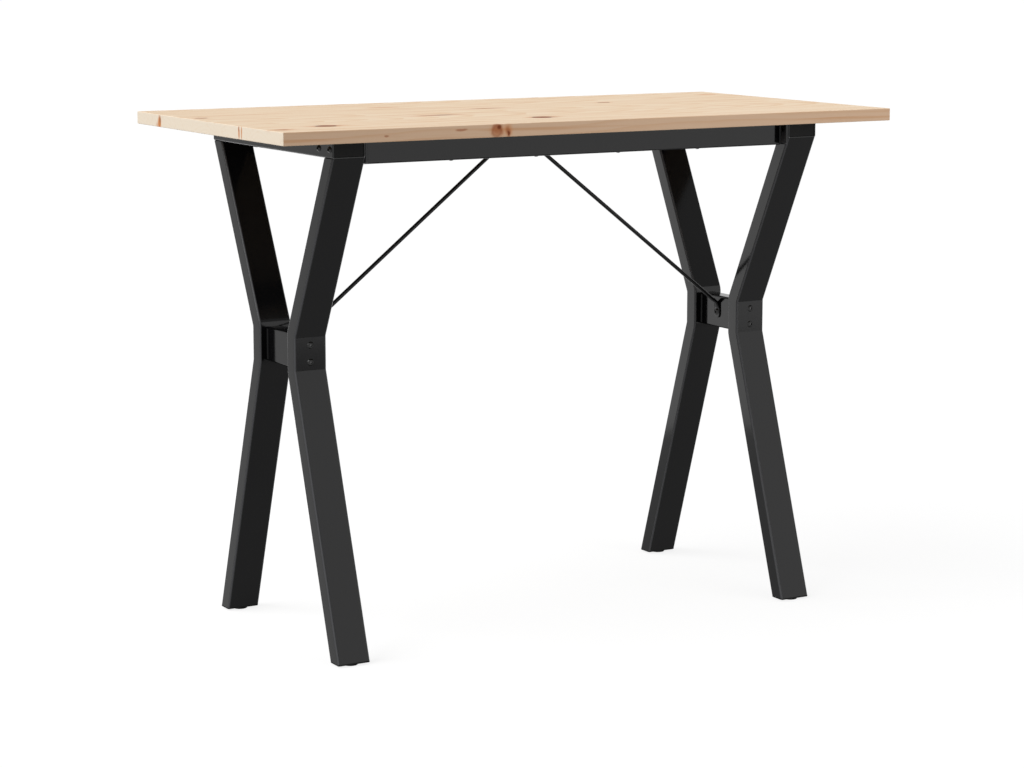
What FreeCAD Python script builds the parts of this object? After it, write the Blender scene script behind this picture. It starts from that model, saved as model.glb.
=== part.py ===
import FreeCAD
import Part
import math
import os

# An industrial dining table: an edge-glued pine top on a black steel tube frame.
# Millimetres, +Z up. X runs along the table, the front is -Y, and the origin is
# on the floor under the middle of the top.

# Top
table_height = 750.0
top_length = 1000.0
top_width = 500.0
top_thickness = 18.0
top_board_count = 5
top_edge_radius = 1.0

# Frame as a whole
end_overhang = 98.0           # top's end past the outer faces of the legs
side_overhang = 53.0          # top's long edge past the end rails
foot_inset = 50.0             # top's long edge past the leg fronts, at the floor
waist_depth = 140.0           # front to back over the outer faces of the waist
waist_middle_height = 423.0
waist_height = 48.0           # flat of the outer face, corner to corner

# Steel tube of the legs, end rails, connectors and crossbar
tube_width = 50.0
tube_thickness = 25.0
tube_wall = 2.0
tube_corner_radius = 3.0
tube_bore_radius = 1.5
leg_bend_radius = 2.0         # on the hollow side of each bend

# Long rails and the tapped flanges welded to their ends
long_rail_width = 20.0
long_rail_height = 35.0
long_rail_wall = 1.5
long_rail_corner_radius = 2.0
long_rail_bore_radius = 1.0
flange_thickness = 4.0
flange_rise = 2.0             # flange's lower edge above the rail's, where it is welded round
flange_margin = 8.0           # from a bolt's axis to the flange's end
flange_bolt_clearance = 3.6   # from a bolt to the long rail's side
flange_corner_radius = 2.0

# Waist connectors
connector_plate_thickness = 3.0
connector_plate_fit = 0.1
connector_end_chamfer = 0.8

# Tie rods: round bar with flattened ends
rod_diameter = 6.0
rod_tab_width = 14.0
rod_tab_thickness = 2.0       # as much steel across a tab as in the round bar
rod_tab_margin = 9.5          # from a bolt's axis to the tab's end
rod_tab_corner_radius = 6.0
lower_rod_neck = 6.75         # from the lower bolt's head to the round of the bar
upper_rod_neck = 0.75         # from the upper bolt's head to the round of the bar
upper_rod_gap = 6.0           # between the two upper tabs
rod_bend_clearance = 0.2

# Bolts and nuts, one metric size throughout
bolt_diameter = 6.0
bolt_head_diameter = 10.5
bolt_head_height = 3.3
bolt_socket_across = 4.0
bolt_socket_depth = 2.0
bolt_hole_clearance = 0.25
bolt_end_allowance = 2.5      # bolt end past its nut
nut_across_flats = 10.0
nut_height = 5.0
thread_clearance = 0.05
waist_bolt_spacing = 24.4

# Wood screws that hold the top
top_screw_count = 4
top_screw_spacing = 137.5
top_screw_diameter = 4.0
top_screw_hole_clearance = 0.25
top_screw_cover = 6.0         # wood left above a screw's point
top_screw_pilot_spare = 0.5
top_screw_head_diameter = 8.0
top_screw_head_height = 1.8
top_screw_recess_diameter = 3.0
top_screw_recess_depth = 1.0

# End caps of the end rails
cap_recess = 0.8
cap_depth = 4.0
cap_face_thickness = 2.0
cap_rim = 1.5
cap_fit = 0.1
cap_bolt_clearance = 0.6

# Foot plugs and levelling feet
plug_flange = 2.0
plug_depth = 18.0
plug_fit = 0.1
pad_diameter = 22.0
pad_height = 2.5
pad_edge_radius = 0.8
pad_seat_gap = 0.2
stud_diameter = 6.0
stud_length = 16.0
stud_clearance = 0.08
stud_socket_depth = 1.2       # stud end moulded into the pad
bush_diameter = 9.0
bush_length = 12.0

# Heights and places along the table that follow from the sizes above
frame_length = top_length - 2 * end_overhang
end_rail_length = top_width - 2 * side_overhang
foot_spread = top_width - 2 * foot_inset
underside = table_height - top_thickness
end_rail_bottom = underside - tube_thickness
end_rail_middle = underside - tube_thickness / 2
long_rail_middle = underside - long_rail_height / 2
long_rail_bottom = underside - long_rail_height
frame_outer = frame_length / 2
frame_middle = frame_outer - tube_width / 2
frame_inner = frame_outer - tube_width
flange_inner = frame_inner - flange_thickness

top_screw_bite = top_thickness - top_screw_cover

# Bolt places: the flange bolts stand clear of the end caps and of the long rail's sides
bolt_radius = bolt_diameter / 2
bolt_hole_radius = bolt_radius + bolt_hole_clearance
tapped_hole_radius = bolt_radius + thread_clearance
bolt_head_radius = bolt_head_diameter / 2
rail_bolt_reach = long_rail_width / 2 + flange_bolt_clearance + bolt_radius
outer_rail_bolt_y = end_rail_length / 2 - cap_recess - cap_depth - cap_bolt_clearance - bolt_radius
long_rail_y = outer_rail_bolt_y - rail_bolt_reach

# Waist: the legs' flat stretch, and the connector held between them
half_thickness = tube_thickness / 2
waist_face = waist_depth / 2
waist_top = waist_middle_height + waist_height / 2
waist_bottom = waist_middle_height - waist_height / 2
connector_length = 2 * (waist_face - tube_thickness)
connector_inner_face = frame_middle - half_thickness
waist_bolt_heights = (waist_middle_height - waist_bolt_spacing / 2,
                      waist_middle_height + waist_bolt_spacing / 2)

# Legs: sideways run per unit of height, above and below the waist
upper_lean = (end_rail_length / 2 - waist_face) / (end_rail_bottom - waist_top)
lower_lean = (foot_spread / 2 - waist_face) / waist_bottom
upper_stretch = math.sqrt(1 + upper_lean ** 2)
lower_stretch = math.sqrt(1 + lower_lean ** 2)
plug_bottom = pad_height + pad_seat_gap
leg_bottom = plug_bottom + plug_flange

# Tie rods: bolt and bend at each end, on the +X side
rod_radius = rod_diameter / 2
rod_bend_standoff = rod_radius + rod_bend_clearance
upper_rod_bolt_x = rod_tab_margin + upper_rod_gap / 2
upper_rod_bend_x = upper_rod_bolt_x + bolt_head_radius + upper_rod_neck + rod_radius
lower_rod_bend_z = waist_middle_height + bolt_head_radius + lower_rod_neck + rod_radius

# Corner radius of the roundest bar, as a share of its smaller side
widest_corner = 0.49

sides = (("left", -1), ("right", 1))
rows = (("front", -1), ("back", 1))
origin = FreeCAD.Vector(0, 0, 0)
x_axis = FreeCAD.Vector(1, 0, 0)
y_axis = FreeCAD.Vector(0, 1, 0)
z_axis = FreeCAD.Vector(0, 0, 1)
nodes = {}


def rounded_rectangle(width, height, radius):
    """Closed wire in the XY plane, centred on the origin; its corners end before they meet."""
    radius = min(radius, widest_corner * min(width, height))
    edges = []
    for turn in range(4):
        reach, rise = (width / 2, height / 2) if turn % 2 == 0 else (height / 2, width / 2)
        corner = FreeCAD.Vector(reach - radius, rise - radius, 0)
        start = corner + x_axis * radius
        end = corner + y_axis * radius
        middle = corner + (x_axis + y_axis) * (radius * math.sqrt(0.5))
        next_start = FreeCAD.Vector(radius - reach, rise, 0)
        arc = Part.Arc(start, middle, end).toShape()
        flat = Part.LineSegment(end, next_start).toShape()
        for edge in (arc, flat):
            edge.rotate(origin, z_axis, 90 * turn)
            edges.append(edge)
    return Part.Wire(Part.__sortEdges__(edges))


def bar(length, width, height, radius):
    """Solid bar along Z, centred on the origin: width along X, height along Y."""
    face = Part.Face(rounded_rectangle(width, height, radius))
    face.translate(z_axis * (-length / 2))
    return face.extrude(z_axis * length)


def cylinder(radius, start, direction, length):
    """Solid cylinder from a point along a direction."""
    return Part.makeCylinder(radius, length, FreeCAD.Vector(*start), direction)


def along_y(shape):
    """The shape turned from Z to lie along Y, its height upright."""
    return shape.rotated(origin, x_axis, 90)


def along_x(shape):
    """The shape turned from Z to lie along X, its width upright."""
    return shape.rotated(origin, y_axis, 90)


def facing(shape, place, direction):
    """Copy of a shape made on +Z, turned to a direction and set at a place."""
    copy = shape.copy()
    copy.Placement = FreeCAD.Placement(FreeCAD.Vector(*place), FreeCAD.Rotation(z_axis, direction))
    return copy


def half_turned(shape, sign):
    """The shape as it is, or turned half round the table's middle where the sign is negative."""
    return shape.copy() if sign > 0 else shape.rotated(origin, z_axis, 180)


def bent_path(points, radius):
    """Wire through the points, with a tangent arc at each inner one."""
    edges = []
    start = points[0]
    for before, corner, after in zip(points, points[1:], points[2:]):
        back = (before - corner).normalize()
        onward = (after - corner).normalize()
        half_turn = (math.pi - back.getAngle(onward)) / 2
        run = radius * math.tan(half_turn)
        inward = (back + onward).normalize()
        arc_start = corner + back * run
        arc_end = corner + onward * run
        arc_middle = corner + inward * (radius / math.cos(half_turn) - radius)
        edges.append(Part.LineSegment(start, arc_start).toShape())
        edges.append(Part.Arc(arc_start, arc_middle, arc_end).toShape())
        start = arc_end
    edges.append(Part.LineSegment(start, points[-1]).toShape())
    return Part.Wire(edges)


def upper_leg_y(height):
    """Centre line of a front leg above the waist."""
    return half_thickness * upper_stretch - waist_face - upper_lean * (height - waist_top)


def lower_leg_y(height):
    """Centre line of a front leg below the waist."""
    return half_thickness * lower_stretch - waist_face - lower_lean * (waist_bottom - height)


def leg_bar(width, thickness, radius):
    """Solid bar bent along a front leg, running past both of its ends."""
    upper_end = end_rail_bottom + tube_thickness
    lower_end = plug_bottom - tube_thickness
    waist_y = half_thickness - waist_face
    upper_corner = waist_top + half_thickness * (upper_stretch - 1) / upper_lean
    lower_corner = waist_bottom - half_thickness * (lower_stretch - 1) / lower_lean
    points = (FreeCAD.Vector(0, upper_leg_y(upper_end), upper_end),
              FreeCAD.Vector(0, waist_y, upper_corner),
              FreeCAD.Vector(0, waist_y, lower_corner),
              FreeCAD.Vector(0, lower_leg_y(lower_end), lower_end))
    section = rounded_rectangle(width, thickness, radius)
    section.rotate(origin, x_axis, math.degrees(math.atan(upper_lean)))
    section.translate(points[0])
    path = bent_path(points, leg_bend_radius + half_thickness)
    return path.makePipeShell([section], True, False)


def slice_between(shape, low, high):
    """What a shape holds between two heights."""
    corner = FreeCAD.Vector(-frame_outer, -foot_spread, low)
    return shape.common(Part.makeBox(frame_length, 2 * foot_spread, high - low, corner))


def hexagon(across_flats, height):
    """Hexagonal prism on +Z, standing on the origin."""
    corner = x_axis * (across_flats / math.sqrt(3))
    points = [FreeCAD.Rotation(z_axis, 60 * turn).multVec(corner) for turn in range(6)]
    outline = Part.makePolygon(points + points[:1])
    return Part.Face(outline).extrude(z_axis * height)


def button_bolt(length):
    """Button-head bolt on +Z with its head above the origin and its shank below."""
    dome_radius = (bolt_head_radius ** 2 + bolt_head_height ** 2) / (2 * bolt_head_height)
    dome_middle = z_axis * (bolt_head_height - dome_radius)
    half_angle = math.asin(bolt_head_radius / dome_radius) / 2
    rim = x_axis * bolt_head_radius
    crown = z_axis * bolt_head_height
    shoulder = dome_middle + (x_axis * math.sin(half_angle) + z_axis * math.cos(half_angle)) * dome_radius
    outline = Part.Wire([Part.LineSegment(origin, rim).toShape(),
                         Part.Arc(rim, shoulder, crown).toShape(),
                         Part.LineSegment(crown, origin).toShape()])
    head = Part.Face(outline).revolve(origin, z_axis, 360)
    socket = hexagon(bolt_socket_across, bolt_socket_depth)
    socket.translate(z_axis * (bolt_head_height - bolt_socket_depth))
    shank = cylinder(bolt_radius, (0, 0, -length), z_axis, length)
    return head.cut(socket).fuse(shank).removeSplitter()


def hex_nut():
    """Hexagon nut on +Z, standing on the origin."""
    bore = cylinder(tapped_hole_radius, origin, z_axis, nut_height)
    return hexagon(nut_across_flats, nut_height).cut(bore)


def top_screw():
    """Wood screw pointing up +Z, its head hanging below the origin."""
    head_bottom = (0, 0, -top_screw_head_height)
    head = cylinder(top_screw_head_diameter / 2, head_bottom, z_axis, top_screw_head_height)
    recess = cylinder(top_screw_recess_diameter / 2, head_bottom, z_axis, top_screw_recess_depth)
    shank = cylinder(top_screw_diameter / 2, origin, z_axis, long_rail_height + top_screw_bite)
    return head.cut(recess).fuse(shank).removeSplitter()


def flat_tube(length):
    """Frame tube lying flat along Y, centred on the origin."""
    bore = bar(length, tube_width - 2 * tube_wall, tube_thickness - 2 * tube_wall, tube_bore_radius)
    return along_y(bar(length, tube_width, tube_thickness, tube_corner_radius).cut(bore))


# Top: pine staves glued edge to edge, drilled from below for the screws
screw_places = [(index - (top_screw_count - 1) / 2) * top_screw_spacing for index in range(top_screw_count)]
pilot_radius = top_screw_diameter / 2 + thread_clearance
panel_corner = FreeCAD.Vector(-top_length / 2, -top_width / 2, underside)
panel = Part.makeBox(top_length, top_width, top_thickness, panel_corner)
panel = panel.makeFillet(top_edge_radius, panel.Edges)
for row, depth_sign in rows:
    for x in screw_places:
        place = (x, depth_sign * long_rail_y, underside)
        panel = panel.cut(cylinder(pilot_radius, place, z_axis, top_screw_bite + top_screw_pilot_spare))
board_width = top_width / top_board_count
for index in range(top_board_count):
    board_corner = panel_corner + y_axis * (index * board_width)
    board = Part.makeBox(top_length, board_width, top_thickness, board_corner)
    nodes[f"top_board_{index + 1}"] = panel.common(board)

# End rails: tube laid flat across the leg tops, drilled for the flange bolts
rail_bolt_places = [depth_sign * (long_rail_y + reach)
                    for row, depth_sign in rows for reach in (-rail_bolt_reach, rail_bolt_reach)]
end_rail = flat_tube(end_rail_length).translated(z_axis * end_rail_middle)
for y in rail_bolt_places:
    place = (-tube_width / 2, y, end_rail_middle)
    end_rail = end_rail.cut(cylinder(bolt_hole_radius, place, x_axis, tube_width))

# End caps: shallow plastic cups pushed into the rail ends, a little below the cut edge
cap_width = tube_width - 2 * tube_wall - 2 * cap_fit
cap_height = tube_thickness - 2 * tube_wall - 2 * cap_fit
cap_hollow = bar(cap_depth, cap_width - 2 * cap_rim, cap_height - 2 * cap_rim, tube_bore_radius)
cap_hollow.translate(z_axis * -cap_face_thickness)
cap = along_y(bar(cap_depth, cap_width, cap_height, tube_bore_radius).cut(cap_hollow))
cap.translate(FreeCAD.Vector(0, cap_recess + (cap_depth - end_rail_length) / 2, end_rail_middle))

# Legs: tube bent outwards above and below the waist, drilled for the waist bolts
leg_bore = leg_bar(tube_width - 2 * tube_wall, tube_thickness - 2 * tube_wall, tube_bore_radius)
leg = leg_bar(tube_width, tube_thickness, tube_corner_radius).cut(leg_bore)
leg = slice_between(leg, leg_bottom, end_rail_bottom)
for z in waist_bolt_heights:
    leg = leg.cut(cylinder(bolt_hole_radius, (0, -waist_face, z), y_axis, tube_thickness))

# Feet: a plug with a threaded bush closes each leg, and a pad on a stud screws into it
foot_y = lower_leg_y(leg_bottom)
foot_axis_bottom = (0, foot_y, plug_bottom)
stud_bottom = (0, foot_y, pad_height - stud_socket_depth)
stud_hole_radius = stud_diameter / 2 + stud_clearance
plug_core = leg_bar(tube_width - 2 * tube_wall - 2 * plug_fit,
                    tube_thickness - 2 * tube_wall - 2 * plug_fit, tube_bore_radius)
plug = slice_between(leg_bar(tube_width, tube_thickness, tube_corner_radius), plug_bottom, leg_bottom)
plug = plug.fuse(slice_between(plug_core, leg_bottom, leg_bottom + plug_depth)).removeSplitter()
plug = plug.cut(cylinder(bush_diameter / 2, foot_axis_bottom, z_axis, bush_length))
plug = plug.cut(cylinder(stud_hole_radius, foot_axis_bottom, z_axis, plug_flange + plug_depth))
bush = cylinder(bush_diameter / 2, foot_axis_bottom, z_axis, bush_length)
bush = bush.cut(cylinder(stud_hole_radius, foot_axis_bottom, z_axis, bush_length))
pad = cylinder(pad_diameter / 2, (0, foot_y, 0), z_axis, pad_height)
pad = pad.makeFillet(pad_edge_radius, [edge for edge in pad.Edges if edge.isClosed()])
pad = pad.cut(cylinder(stud_diameter / 2, stud_bottom, z_axis, stud_socket_depth))
stud = cylinder(stud_diameter / 2, stud_bottom, z_axis, stud_socket_depth + stud_length)

bushes = []
corner_pieces = {"end_rail_cap": cap, "leg": leg, "foot_plug": plug, "foot_pad": pad, "foot_stud": stud}
for side, hand in sides:
    frame_place = x_axis * (hand * frame_middle)
    nodes[f"{side}_end_rail"] = end_rail.translated(frame_place)
    for row, depth_sign in rows:
        for name, piece in corner_pieces.items():
            nodes[f"{side}_{row}_{name}"] = half_turned(piece, -depth_sign).translated(frame_place)
        bushes.append(half_turned(bush, -depth_sign).translated(frame_place))
nodes["foot_bushes"] = Part.makeCompound(bushes)

# Long rails: tube on edge under the front and back of the top, drilled for the top's screws
long_rail_bore = bar(2 * flange_inner, long_rail_height - 2 * long_rail_wall,
                     long_rail_width - 2 * long_rail_wall, long_rail_bore_radius)
long_rail = bar(2 * flange_inner, long_rail_height, long_rail_width, long_rail_corner_radius)
long_rail = along_x(long_rail.cut(long_rail_bore)).translated(z_axis * long_rail_middle)
screw_hole_radius = top_screw_diameter / 2 + top_screw_hole_clearance
for x in screw_places:
    place = (x, 0, long_rail_bottom)
    long_rail = long_rail.cut(cylinder(screw_hole_radius, place, z_axis, long_rail_height))

# Flanges: plates welded across the rail ends, tapped for the bolts through the end rails
flange_width = 2 * (rail_bolt_reach + flange_margin)
flange_height = long_rail_height - flange_rise
flange = along_x(bar(flange_thickness, flange_height, flange_width, flange_corner_radius))
flange.translate(z_axis * (underside - flange_height / 2))
for y in (-rail_bolt_reach, rail_bolt_reach):
    place = (-flange_thickness / 2, y, end_rail_middle)
    flange = flange.cut(cylinder(tapped_hole_radius, place, x_axis, flange_thickness))

for row, depth_sign in rows:
    rail_place = y_axis * (depth_sign * long_rail_y)
    flange_middle = x_axis * (frame_inner - flange_thickness / 2)
    screw_start = rail_place + z_axis * long_rail_bottom
    screws = [top_screw().translated(screw_start + x_axis * x) for x in screw_places]
    nodes[f"{row}_long_rail"] = long_rail.translated(rail_place)
    nodes[f"{row}_rail_flanges"] = Part.makeCompound([flange.translated(rail_place + flange_middle * hand)
                                                      for side, hand in sides])
    nodes[f"{row}_top_screws"] = Part.makeCompound(screws)

# Crossbar: tube welded between the long rails, where both tie rods end
crossbar = flat_tube(2 * long_rail_y - long_rail_width).translated(z_axis * end_rail_middle)
for side, hand in sides:
    place = (hand * upper_rod_bolt_x, 0, end_rail_bottom)
    crossbar = crossbar.cut(cylinder(bolt_hole_radius, place, z_axis, tube_wall))
nodes["crossbar"] = crossbar

# Waist connectors: a short tube on edge between the legs, an end plate inside each end
connector = bar(connector_length, tube_thickness, tube_width, tube_corner_radius)
end_edges = [edge for edge in connector.Edges if edge.BoundBox.ZLength < connector_end_chamfer]
connector = connector.makeChamfer(connector_end_chamfer, end_edges)
connector_bore = bar(connector_length, tube_thickness - 2 * tube_wall, tube_width - 2 * tube_wall,
                     tube_bore_radius)
connector = connector.cut(connector_bore)
connector = along_y(connector).translated(FreeCAD.Vector(frame_middle, 0, waist_middle_height))
rod_hole_place = (connector_inner_face, 0, waist_middle_height)
connector = connector.cut(cylinder(bolt_hole_radius, rod_hole_place, x_axis, tube_wall))

plate_inset = tube_wall + connector_plate_fit
plate = along_y(bar(connector_plate_thickness, tube_thickness - 2 * plate_inset,
                    tube_width - 2 * plate_inset, tube_bore_radius))
plate.translate(FreeCAD.Vector(frame_middle, (connector_plate_thickness - connector_length) / 2,
                               waist_middle_height))
for z in waist_bolt_heights:
    place = (frame_middle, -connector_length / 2, z)
    plate = plate.cut(cylinder(bolt_hole_radius, place, y_axis, connector_plate_thickness))
plates = Part.makeCompound([plate, plate.rotated(x_axis * frame_middle, z_axis, 180)])

# Tie rods: round bar from the connector up to the crossbar, flattened and bent at both ends
lower_bend = FreeCAD.Vector(connector_inner_face - rod_bend_standoff, 0, lower_rod_bend_z)
upper_bend = FreeCAD.Vector(upper_rod_bend_x, 0, end_rail_bottom - rod_bend_standoff)
rod_run = upper_bend - lower_bend
lower_tab_length = lower_rod_bend_z + rod_radius - waist_middle_height + rod_tab_margin
lower_tab = along_x(bar(rod_tab_thickness, lower_tab_length, rod_tab_width, rod_tab_corner_radius))
lower_tab.translate(FreeCAD.Vector(connector_inner_face - rod_tab_thickness / 2, 0,
                                   waist_middle_height - rod_tab_margin + lower_tab_length / 2))
upper_tab_length = upper_rod_bend_x + rod_radius - upper_rod_bolt_x + rod_tab_margin
upper_tab = bar(rod_tab_thickness, upper_tab_length, rod_tab_width, rod_tab_corner_radius)
upper_tab.translate(FreeCAD.Vector(upper_rod_bolt_x - rod_tab_margin + upper_tab_length / 2, 0,
                                   end_rail_bottom - rod_tab_thickness / 2))
tie_rod = Part.makeCylinder(rod_radius, rod_run.Length, lower_bend, rod_run)
for piece in (Part.makeSphere(rod_radius, lower_bend), Part.makeSphere(rod_radius, upper_bend),
              lower_tab, upper_tab):
    tie_rod = tie_rod.fuse(piece)
tie_rod = tie_rod.removeSplitter()
lower_rod_bolt_place = (connector_inner_face - rod_tab_thickness, 0, waist_middle_height)
upper_rod_bolt_place = (upper_rod_bolt_x, 0, end_rail_bottom - rod_tab_thickness)
tie_rod = tie_rod.cut(cylinder(bolt_hole_radius, lower_rod_bolt_place, x_axis, rod_tab_thickness))
tie_rod = tie_rod.cut(cylinder(bolt_hole_radius, upper_rod_bolt_place, z_axis, rod_tab_thickness))

# Fasteners of the +X end: bolts point their heads outwards, nuts stand on what they clamp
nut_stack = nut_height + bolt_end_allowance
waist_bolt = button_bolt(tube_thickness + connector_plate_thickness + nut_stack)
rail_bolt = button_bolt(tube_width + flange_thickness)
rod_bolt = button_bolt(rod_tab_thickness + tube_wall + nut_stack)
waist_nut_y = connector_length / 2 - connector_plate_thickness
waist_bolts = []
waist_nuts = []
for row, depth_sign in rows:
    outward = y_axis * depth_sign
    for z in waist_bolt_heights:
        waist_bolts.append(facing(waist_bolt, (frame_middle, depth_sign * waist_face, z), outward))
        waist_nuts.append(facing(hex_nut(), (frame_middle, depth_sign * waist_nut_y, z), -outward))
rail_bolts = [facing(rail_bolt, (frame_outer, y, end_rail_middle), x_axis) for y in rail_bolt_places]
lower_rod_bolt = facing(rod_bolt, lower_rod_bolt_place, -x_axis)
upper_rod_bolt = facing(rod_bolt, upper_rod_bolt_place, -z_axis)
lower_rod_nut = facing(hex_nut(), (connector_inner_face + tube_wall, 0, waist_middle_height), x_axis)
upper_rod_nut = facing(hex_nut(), (upper_rod_bolt_x, 0, end_rail_bottom + tube_wall), z_axis)

end_pieces = {"waist_connector": connector, "connector_plates": plates, "tie_rod": tie_rod,
              "waist_bolts": Part.makeCompound(waist_bolts), "waist_nuts": Part.makeCompound(waist_nuts),
              "rail_bolts": Part.makeCompound(rail_bolts),
              "rod_bolts": Part.makeCompound([lower_rod_bolt, upper_rod_bolt]),
              "rod_nuts": Part.makeCompound([lower_rod_nut, upper_rod_nut])}
for side, hand in sides:
    for name, piece in end_pieces.items():
        nodes[f"{side}_{name}"] = half_turned(piece, hand)

os.makedirs("parts", exist_ok=True)
for name, shape in nodes.items():
    shape.exportStep(f"parts/{name}.step")
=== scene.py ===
import bmesh
import bpy
import math
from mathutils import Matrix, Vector


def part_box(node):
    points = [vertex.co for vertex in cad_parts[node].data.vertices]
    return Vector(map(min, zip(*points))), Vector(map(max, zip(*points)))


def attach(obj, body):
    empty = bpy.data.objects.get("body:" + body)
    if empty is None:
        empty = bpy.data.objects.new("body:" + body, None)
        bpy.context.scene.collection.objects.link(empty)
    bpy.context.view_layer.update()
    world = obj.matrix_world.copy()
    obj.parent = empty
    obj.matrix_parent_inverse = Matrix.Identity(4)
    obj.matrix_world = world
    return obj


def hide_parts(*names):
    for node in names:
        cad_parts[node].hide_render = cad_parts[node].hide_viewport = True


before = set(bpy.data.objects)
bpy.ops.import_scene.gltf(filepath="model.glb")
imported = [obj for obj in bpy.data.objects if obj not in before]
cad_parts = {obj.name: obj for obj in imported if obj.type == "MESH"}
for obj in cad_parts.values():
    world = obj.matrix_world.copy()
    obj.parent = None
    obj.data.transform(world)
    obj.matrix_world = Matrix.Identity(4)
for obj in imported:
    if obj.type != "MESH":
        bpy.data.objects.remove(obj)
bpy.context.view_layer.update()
scene = bpy.context.scene
scene.view_settings.view_transform = "Standard"

# Camera: a long lens on a stand off the table's left front corner, a little above the top.
# It is tipped down slightly, and a small lens shift lifts the table in the frame.
camera_dip = math.radians(8.869)
camera_turn = math.radians(-30.099)
camera_data = bpy.data.cameras.new("camera")
camera_data.lens = 94.48
camera_data.sensor_width = 36.0
camera_data.shift_y = -0.0293
camera_data.clip_end = 200.0
camera = bpy.data.objects.new("camera", camera_data)
camera.location = (-2.0074, -3.4486, 1.0064)
camera.rotation_euler = (math.radians(90) - camera_dip, 0, camera_turn)
scene.collection.objects.link(camera)
scene.camera = camera


# Studio: a plain white floor that runs to the horizon, clear when seen from below.
# One wide soft lamp stands high on the left, a large panel at the front right and a small one low
# behind the table, and the white room around gives the rest.
def linear(code):
    """Linear colour of an sRGB hex code such as "EBD5BA"."""
    shares = [int(code[place:place + 2], 16) / 255 for place in (0, 2, 4)]
    return *[s / 12.92 if s <= 0.04045 else ((s + 0.055) / 1.055) ** 2.4 for s in shares], 1.0


def add(tree, kind, inputs=None, **settings):
    """Node of a kind with its settings. Its inputs, by name or number, take a value, a socket, a node
    that stands for the first of its outputs in use, or a list of sockets and nodes."""
    node = tree.nodes.new(kind)
    for name, value in settings.items():
        setattr(node, name, value)
    for name, value in (inputs or {}).items():
        for source in value if isinstance(value, list) else [value]:
            if isinstance(source, bpy.types.Node):
                source = next(output for output in source.outputs if output.enabled)
            if isinstance(source, bpy.types.NodeSocket):
                tree.links.new(source, node.inputs[name])
            else:
                node.inputs[name].default_value = source
    return node


def new_material(name):
    """Material named for a finish, and its empty node tree."""
    made = bpy.data.materials.new(name)
    made.use_nodes = True
    made.node_tree.nodes.clear()
    return made, made.node_tree


def background_rays(tree):
    """Node that is 1 for rays to the eye, mirrored rays and rays through clear things, and else 0."""
    rays = add(tree, "ShaderNodeLightPath").outputs
    seen = add(tree, "ShaderNodeMath", {0: rays["Is Camera Ray"], 1: rays["Is Glossy Ray"]},
               operation="MAXIMUM")
    return add(tree, "ShaderNodeMath", {0: seen, 1: rays["Is Transmission Ray"]}, operation="MAXIMUM")


floor_reach = 90.0
floor_corners = [(x * floor_reach, y * floor_reach, 0) for x, y in ((-1, -1), (1, -1), (1, 1), (-1, 1))]
floor_mesh = bpy.data.meshes.new("studio_floor")
floor_mesh.from_pydata(floor_corners, [], [(0, 1, 2, 3)])
floor = bpy.data.objects.new("studio_floor", floor_mesh)
scene.collection.objects.link(floor)

# Matt white floor paint: no gloss, and clear from below so that it never hides the underside.
# It is white to the eye and in reflections, where most of it glows and the rest takes the table's
# shadow, and it sends only a little light back up to the table.
glow_share = 0.8
glow_strength = 1.04
floor_paint, tree = new_material("matt_white_floor_paint")
seen = background_rays(tree)
white = add(tree, "ShaderNodeMix", {0: seen, 6: linear("989898"), 7: linear("FFFFFF")}, data_type="RGBA")
paint = add(tree, "ShaderNodeBsdfDiffuse", {"Color": white})
glow = add(tree, "ShaderNodeEmission", {"Color": linear("FFFFFF"), "Strength": glow_strength})
glowing = add(tree, "ShaderNodeMath", {0: seen, 1: glow_share}, operation="MULTIPLY")
paint = add(tree, "ShaderNodeMixShader", {0: glowing, 1: paint, 2: glow})
clear = add(tree, "ShaderNodeBsdfTransparent")
facing = add(tree, "ShaderNodeNewGeometry").outputs
sides = add(tree, "ShaderNodeMixShader", {0: facing["Backfacing"], 1: paint, 2: clear})
add(tree, "ShaderNodeOutputMaterial", {"Surface": sides})
floor_paint.cycles.emission_sampling = "NONE"
floor_mesh.materials.append(floor_paint)

lamp_data = bpy.data.lights.new("left_softbox", "SUN")
lamp_data.energy = 2.65
lamp_data.angle = math.radians(55)
lamp = bpy.data.objects.new("left_softbox", lamp_data)
lamp.rotation_euler = Vector((-0.75, 0.09, 0.655)).to_track_quat("Z", "Y").to_euler()
scene.collection.objects.link(lamp)

# Each panel with its width, height, power, place, and the way that its back faces
for name, width, height, power, stand, away in (
        ("front_right_panel", 2.0, 1.75, 26.0, (1.35, -2.35, 0.89), (0.5, -0.866, 0)),
        ("back_left_panel", 0.72, 0.6, 2.1, (-0.22, 1.0, 0.32), (-0.3, 1, 0))):
    panel_data = bpy.data.lights.new(name, "AREA")
    panel_data.shape = "RECTANGLE"
    panel_data.size = width
    panel_data.size_y = height
    panel_data.energy = power
    panel = bpy.data.objects.new(name, panel_data)
    panel.location = stand
    panel.rotation_euler = Vector(away).to_track_quat("Z", "Y").to_euler()
    panel.visible_camera = False
    scene.collection.objects.link(panel)

# Room: white to the eye and in reflections, and dimmer in the light that it gives the table
room_light = 0.36
room = bpy.data.worlds.new("white_room")
scene.world = room
room.use_nodes = True
tree = room.node_tree
tree.nodes.clear()
brightness = add(tree, "ShaderNodeMapRange", {"Value": background_rays(tree), "To Min": room_light,
                                              "To Max": 1.0})
air = add(tree, "ShaderNodeBackground", {"Color": linear("FFFFFF"), "Strength": brightness})
add(tree, "ShaderNodeOutputWorld", {"Surface": air})

# Top: five pine staves glued edge to edge, planed, with eased edges and a clear matt lacquer.
# The wood is even and creamy, with growth rings along the table, a few amber and brown streaks,
# orange resin on the sawn end, and small knots.
stave_count = 5
stave_width = 0.100
ring_spacing = 0.006
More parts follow.
